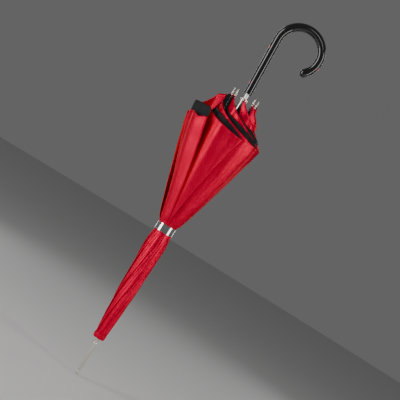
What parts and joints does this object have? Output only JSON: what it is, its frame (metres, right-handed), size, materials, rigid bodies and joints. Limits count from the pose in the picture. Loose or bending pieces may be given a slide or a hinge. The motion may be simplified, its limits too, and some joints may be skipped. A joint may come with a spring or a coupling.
{
  "type": "stick umbrella",
  "caption": "Closed stick umbrella with a crook handle, hinged ribs and stretchers on a sliding runner, a gathered satin canopy and a long metal ferrule.",
  "frame": {"origin": "tip of the ferrule, on the shaft's axis", "axes": "+Z along the shaft towards the handle, crook opens towards +X"},
  "size_m": [0.2012, 0.192, 0.9137],
  "materials": {
    "steel": "polished tube",
    "nickel": "bright nickel",
    "black_metal": "black enamel",
    "lacquer": "black piano lacquer",
    "heart_red": "gloss red enamel",
    "rib_steel": "black nickel",
    "satin": "crimson satin",
    "band_chrome": "mirror chrome",
    "strap": "mirror foil"
  },
  "bodies": {
    "frame": {"shaft": "steel", "ferrule": "nickel", "top_notch": "black_metal", "notch_wire": "steel", "handle": "lacquer", "heart_inlays": "heart_red"},
    "runner": {"runner": "nickel", "runner_wire": "steel"},
    "hand_spring": {"hand_spring": "steel"},
    "top_spring": {"top_spring": "steel"},
    "rib_0": {"rib_0": "rib_steel", "rib_tip_0": "nickel", "canopy_panel_0": "satin", "band_plate": "band_chrome", "band_strap": "strap"},
    "stretcher_0": {"stretcher_0": "rib_steel"},
    "rib_1": {"rib_1": "rib_steel", "rib_tip_1": "nickel", "canopy_panel_1": "satin"},
    "stretcher_1": {"stretcher_1": "rib_steel"},
    "rib_2": {"rib_2": "rib_steel", "rib_tip_2": "nickel", "canopy_panel_2": "satin"},
    "stretcher_2": {"stretcher_2": "rib_steel"},
    "rib_3": {"rib_3": "rib_steel", "rib_tip_3": "nickel", "canopy_panel_3": "satin"},
    "stretcher_3": {"stretcher_3": "rib_steel"},
    "rib_4": {"rib_4": "rib_steel", "rib_tip_4": "nickel", "canopy_panel_4": "satin"},
    "stretcher_4": {"stretcher_4": "rib_steel"},
    "rib_5": {"rib_5": "rib_steel", "rib_tip_5": "nickel", "canopy_panel_5": "satin"},
    "stretcher_5": {"stretcher_5": "rib_steel"},
    "rib_6": {"rib_6": "rib_steel", "rib_tip_6": "nickel", "canopy_panel_6": "satin"},
    "stretcher_6": {"stretcher_6": "rib_steel"},
    "rib_7": {"rib_7": "rib_steel", "rib_tip_7": "nickel", "canopy_panel_7": "satin"},
    "stretcher_7": {"stretcher_7": "rib_steel"},
    "fold_0_left": {"gore_fold_0_left": "satin"},
    "fold_0_right": {"gore_fold_0_right": "satin"},
    "fold_1_left": {"gore_fold_1_left": "satin"},
    "fold_1_right": {"gore_fold_1_right": "satin"},
    "fold_2_left": {"gore_fold_2_left": "satin"},
    "fold_2_right": {"gore_fold_2_right": "satin"},
    "fold_3_left": {"gore_fold_3_left": "satin"},
    "fold_3_right": {"gore_fold_3_right": "satin"},
    "fold_4_left": {"gore_fold_4_left": "satin"},
    "fold_4_right": {"gore_fold_4_right": "satin"},
    "fold_5_left": {"gore_fold_5_left": "satin"},
    "fold_5_right": {"gore_fold_5_right": "satin"},
    "fold_6_left": {"gore_fold_6_left": "satin"},
    "fold_6_right": {"gore_fold_6_right": "satin"},
    "fold_7_left": {"gore_fold_7_left": "satin"},
    "fold_7_right": {"gore_fold_7_right": "satin"}
  },
  "joints": [
    {"name": "runner_slide", "type": "slide", "parent": "frame", "child": "runner", "axis": [0, 0, -1], "range_m": [0, 0.22928], "deforming": ["gore_fold_0_left", "gore_fold_0_right", "gore_fold_1_left", "gore_fold_1_right", "gore_fold_2_left", "gore_fold_2_right", "gore_fold_3_left", "gore_fold_3_right", "gore_fold_4_left", "gore_fold_4_right", "gore_fold_5_left", "gore_fold_5_right", "gore_fold_6_left", "gore_fold_6_right", "gore_fold_7_left", "gore_fold_7_right", "band_strap"]},
    {"name": "hand_spring_press", "type": "slide", "parent": "frame", "child": "hand_spring", "axis": [-0.3827, 0.9239, 0], "range_m": [0, 0.0018], "stiffness_N_per_m": 1200},
    {"name": "top_spring_press", "type": "slide", "parent": "frame", "child": "top_spring", "axis": [-0.3827, 0.9239, 0], "range_m": [0, 0.0018], "stiffness_N_per_m": 1200},
    {"name": "rib_0_open", "type": "hinge", "parent": "frame", "child": "rib_0", "pos_m": [0, -0.0086, 0.1], "axis": [1, 0, 0], "range_deg": [0, 55.72]},
    {"name": "stretcher_0_fold", "type": "hinge", "parent": "rib_0", "child": "stretcher_0", "pos_m": [0, -0.01443, 0.36996], "axis": [1, 0, 0], "range_deg": [-105.67, 0]},
    {"name": "rib_1_open", "type": "hinge", "parent": "frame", "child": "rib_1", "pos_m": [0.00608, -0.00608, 0.1], "axis": [0.7071, 0.7071, 0], "range_deg": [0, 55.72]},
    {"name": "stretcher_1_fold", "type": "hinge", "parent": "rib_1", "child": "stretcher_1", "pos_m": [0.0102, -0.0102, 0.36996], "axis": [0.7071, 0.7071, 0], "range_deg": [-105.67, 0]},
    {"name": "rib_2_open", "type": "hinge", "parent": "frame", "child": "rib_2", "pos_m": [0.0086, 0, 0.1], "axis": [0, 1, 0], "range_deg": [0, 55.72]},
    {"name": "stretcher_2_fold", "type": "hinge", "parent": "rib_2", "child": "stretcher_2", "pos_m": [0.01443, 0, 0.36996], "axis": [0, 1, 0], "range_deg": [-105.67, 0]},
    {"name": "rib_3_open", "type": "hinge", "parent": "frame", "child": "rib_3", "pos_m": [0.00608, 0.00608, 0.1], "axis": [-0.7071, 0.7071, 0], "range_deg": [0, 55.72]},
    {"name": "stretcher_3_fold", "type": "hinge", "parent": "rib_3", "child": "stretcher_3", "pos_m": [0.0102, 0.0102, 0.36996], "axis": [-0.7071, 0.7071, 0], "range_deg": [-105.67, 0]},
    {"name": "rib_4_open", "type": "hinge", "parent": "frame", "child": "rib_4", "pos_m": [0, 0.0086, 0.1], "axis": [-1, 0, 0], "range_deg": [0, 55.72]},
    {"name": "stretcher_4_fold", "type": "hinge", "parent": "rib_4", "child": "stretcher_4", "pos_m": [0, 0.01443, 0.36996], "axis": [-1, 0, 0], "range_deg": [-105.67, 0]},
    {"name": "rib_5_open", "type": "hinge", "parent": "frame", "child": "rib_5", "pos_m": [-0.00608, 0.00608, 0.1], "axis": [-0.7071, -0.7071, 0], "range_deg": [0, 55.72]},
    {"name": "stretcher_5_fold", "type": "hinge", "parent": "rib_5", "child": "stretcher_5", "pos_m": [-0.0102, 0.0102, 0.36996], "axis": [-0.7071, -0.7071, 0], "range_deg": [-105.67, 0]},
    {"name": "rib_6_open", "type": "hinge", "parent": "frame", "child": "rib_6", "pos_m": [-0.0086, 0, 0.1], "axis": [0, -1, 0], "range_deg": [0, 55.72]},
    {"name": "stretcher_6_fold", "type": "hinge", "parent": "rib_6", "child": "stretcher_6", "pos_m": [-0.01443, 0, 0.36996], "axis": [0, -1, 0], "range_deg": [-105.67, 0]},
    {"name": "rib_7_open", "type": "hinge", "parent": "frame", "child": "rib_7", "pos_m": [-0.00608, -0.00608, 0.1], "axis": [0.7071, -0.7071, 0], "range_deg": [0, 55.72]},
    {"name": "stretcher_7_fold", "type": "hinge", "parent": "rib_7", "child": "stretcher_7", "pos_m": [-0.0102, -0.0102, 0.36996], "axis": [0.7071, -0.7071, 0], "range_deg": [-105.67, 0]},
    {"name": "fold_0_left_spread", "type": "hinge", "parent": "rib_0", "child": "fold_0_left", "pos_m": [-0.00061, -0.00115, 0.09935], "axis": [-0.052, -0.4728, 0.8796], "range_deg": [0, 69.91]},
    {"name": "fold_0_right_spread", "type": "hinge", "parent": "rib_0", "child": "fold_0_right", "pos_m": [0.00092, -0.00098, 0.09983], "axis": [-0.1301, 0.0486, -0.9903], "range_deg": [0, 89.16]},
    {"name": "fold_1_left_spread", "type": "hinge", "parent": "rib_1", "child": "fold_1_left", "pos_m": [0.00038, -0.00125, 0.09935], "axis": [0.2976, -0.371, 0.8796], "range_deg": [0, 69.91]},
    {"name": "fold_1_right_spread", "type": "hinge", "parent": "rib_1", "child": "fold_1_right", "pos_m": [0.00134, -0.00004, 0.09983], "axis": [-0.1263, -0.0577, -0.9903], "range_deg": [0, 89.16]},
    {"name": "fold_2_left_spread", "type": "hinge", "parent": "rib_2", "child": "fold_2_left", "pos_m": [0.00115, -0.00061, 0.09935], "axis": [0.4728, -0.052, 0.8796], "range_deg": [0, 69.91]},
    {"name": "fold_2_right_spread", "type": "hinge", "parent": "rib_2", "child": "fold_2_right", "pos_m": [0.00098, 0.00092, 0.09983], "axis": [-0.0486, -0.1301, -0.9903], "range_deg": [0, 89.16]},
    {"name": "fold_3_left_spread", "type": "hinge", "parent": "rib_3", "child": "fold_3_left", "pos_m": [0.00125, 0.00038, 0.09935], "axis": [0.371, 0.2976, 0.8796], "range_deg": [0, 69.91]},
    {"name": "fold_3_right_spread", "type": "hinge", "parent": "rib_3", "child": "fold_3_right", "pos_m": [0.00004, 0.00134, 0.09983], "axis": [0.0577, -0.1263, -0.9903], "range_deg": [0, 89.16]},
    {"name": "fold_4_left_spread", "type": "hinge", "parent": "rib_4", "child": "fold_4_left", "pos_m": [0.00061, 0.00115, 0.09935], "axis": [0.052, 0.4728, 0.8796], "range_deg": [0, 69.91]},
    {"name": "fold_4_right_spread", "type": "hinge", "parent": "rib_4", "child": "fold_4_right", "pos_m": [-0.00092, 0.00098, 0.09983], "axis": [0.1301, -0.0486, -0.9903], "range_deg": [0, 89.16]},
    {"name": "fold_5_left_spread", "type": "hinge", "parent": "rib_5", "child": "fold_5_left", "pos_m": [-0.00038, 0.00125, 0.09935], "axis": [-0.2976, 0.371, 0.8796], "range_deg": [0, 69.91]},
    {"name": "fold_5_right_spread", "type": "hinge", "parent": "rib_5", "child": "fold_5_right", "pos_m": [-0.00134, 0.00004, 0.09983], "axis": [0.1263, 0.0577, -0.9903], "range_deg": [0, 89.16]},
    {"name": "fold_6_left_spread", "type": "hinge", "parent": "rib_6", "child": "fold_6_left", "pos_m": [-0.00115, 0.00061, 0.09935], "axis": [-0.4728, 0.052, 0.8796], "range_deg": [0, 69.91]},
    {"name": "fold_6_right_spread", "type": "hinge", "parent": "rib_6", "child": "fold_6_right", "pos_m": [-0.00098, -0.00092, 0.09983], "axis": [0.0486, 0.1301, -0.9903], "range_deg": [0, 89.16]},
    {"name": "fold_7_left_spread", "type": "hinge", "parent": "rib_7", "child": "fold_7_left", "pos_m": [-0.00125, -0.00038, 0.09935], "axis": [-0.371, -0.2976, 0.8796], "range_deg": [0, 69.91]},
    {"name": "fold_7_right_spread", "type": "hinge", "parent": "rib_7", "child": "fold_7_right", "pos_m": [-0.00004, -0.00134, 0.09983], "axis": [-0.0577, 0.1263, -0.9903], "range_deg": [0, 89.16]}
  ],
  "couplings": [
    {"joint": "rib_0_open", "follows": "runner_slide", "rad_per_m": 4.24},
    {"joint": "stretcher_0_fold", "follows": "runner_slide", "rad_per_m": -8.0426},
    {"joint": "rib_1_open", "follows": "runner_slide", "rad_per_m": 4.24},
    {"joint": "stretcher_1_fold", "follows": "runner_slide", "rad_per_m": -8.0426},
    {"joint": "rib_2_open", "follows": "runner_slide", "rad_per_m": 4.24},
    {"joint": "stretcher_2_fold", "follows": "runner_slide", "rad_per_m": -8.0426},
    {"joint": "rib_3_open", "follows": "runner_slide", "rad_per_m": 4.24},
    {"joint": "stretcher_3_fold", "follows": "runner_slide", "rad_per_m": -8.0426},
    {"joint": "rib_4_open", "follows": "runner_slide", "rad_per_m": 4.24},
    {"joint": "stretcher_4_fold", "follows": "runner_slide", "rad_per_m": -8.0426},
    {"joint": "rib_5_open", "follows": "runner_slide", "rad_per_m": 4.24},
    {"joint": "stretcher_5_fold", "follows": "runner_slide", "rad_per_m": -8.0426},
    {"joint": "rib_6_open", "follows": "runner_slide", "rad_per_m": 4.24},
    {"joint": "stretcher_6_fold", "follows": "runner_slide", "rad_per_m": -8.0426},
    {"joint": "rib_7_open", "follows": "runner_slide", "rad_per_m": 4.24},
    {"joint": "stretcher_7_fold", "follows": "runner_slide", "rad_per_m": -8.0426},
    {"joint": "fold_0_left_spread", "follows": "runner_slide", "rad_per_m": 5.32},
    {"joint": "fold_0_right_spread", "follows": "runner_slide", "rad_per_m": 6.7857},
    {"joint": "fold_1_left_spread", "follows": "runner_slide", "rad_per_m": 5.32},
    {"joint": "fold_1_right_spread", "follows": "runner_slide", "rad_per_m": 6.7857},
    {"joint": "fold_2_left_spread", "follows": "runner_slide", "rad_per_m": 5.32},
    {"joint": "fold_2_right_spread", "follows": "runner_slide", "rad_per_m": 6.7857},
    {"joint": "fold_3_left_spread", "follows": "runner_slide", "rad_per_m": 5.32},
    {"joint": "fold_3_right_spread", "follows": "runner_slide", "rad_per_m": 6.7857},
    {"joint": "fold_4_left_spread", "follows": "runner_slide", "rad_per_m": 5.32},
    {"joint": "fold_4_right_spread", "follows": "runner_slide", "rad_per_m": 6.7857},
    {"joint": "fold_5_left_spread", "follows": "runner_slide", "rad_per_m": 5.32},
    {"joint": "fold_5_right_spread", "follows": "runner_slide", "rad_per_m": 6.7857},
    {"joint": "fold_6_left_spread", "follows": "runner_slide", "rad_per_m": 5.32},
    {"joint": "fold_6_right_spread", "follows": "runner_slide", "rad_per_m": 6.7857},
    {"joint": "fold_7_left_spread", "follows": "runner_slide", "rad_per_m": 5.32},
    {"joint": "fold_7_right_spread", "follows": "runner_slide", "rad_per_m": 6.7857}
  ]
}
